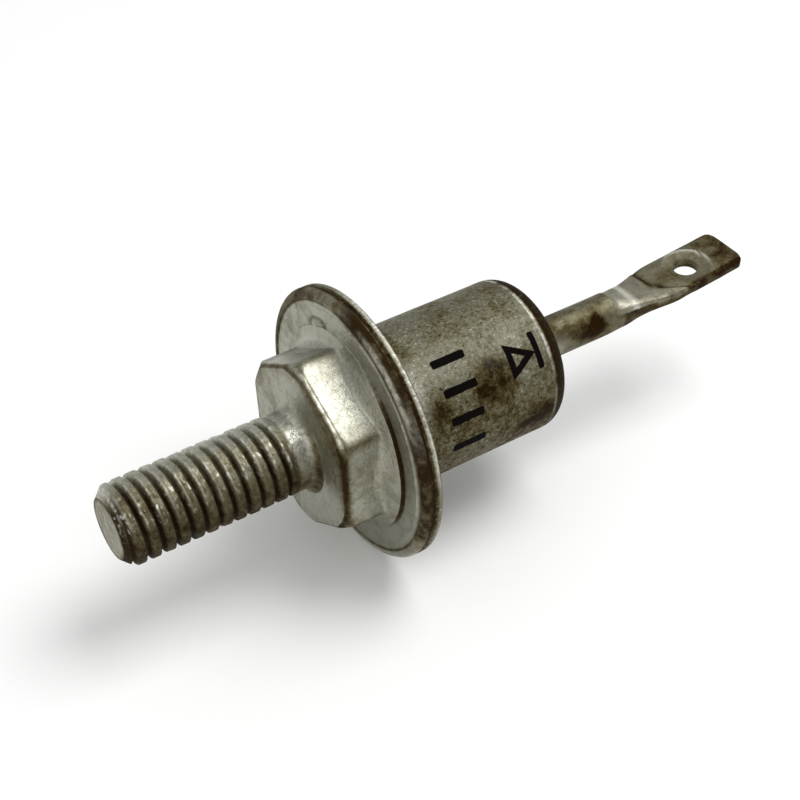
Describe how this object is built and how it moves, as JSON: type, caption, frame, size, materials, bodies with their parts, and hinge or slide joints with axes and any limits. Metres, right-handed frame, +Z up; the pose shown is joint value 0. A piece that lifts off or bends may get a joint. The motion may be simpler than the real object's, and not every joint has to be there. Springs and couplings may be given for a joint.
{
  "type": "stud diode",
  "caption": "Metal-can rectifier diode with a threaded stud, a hexagon for a spanner, a welded flange and a flattened solder lug.",
  "frame": {"origin": "on the stud's axis, in the plane of the hexagon's seating face", "axes": "-X along the stud to its tip, +X along the can to the solder lug, +Z up, square to the lug's flat, +Y to the lug's side"},
  "size_m": [0.0355, 0.0134, 0.0136],
  "materials": {
    "plated_stud": "dull nickel-tin plate on steel, tarnished olive-brown in the grooves",
    "plated_can": "dull plate with a fine pebbled grain, olive tarnish and black ink",
    "plated_lug": "dull plate, brown tarnish, bright along the press marks",
    "seal_glass": "dark grey-green fused glass",
    "copper": "bare soft copper",
    "solder": "smooth lead-tin solder",
    "silicon": "lapped grey silicon",
    "molybdenum": "grey rolled sheet"
  },
  "bodies": {
    "root": {"stud_base": "plated_stud", "cap": "plated_can", "glass_seal": "seal_glass", "terminal": "plated_lug", "inner_lead": "copper", "upper_solder": "solder", "silicon_chip": "silicon", "support_disc": "molybdenum", "lower_solder": "solder"}
  },
  "joints": []
}
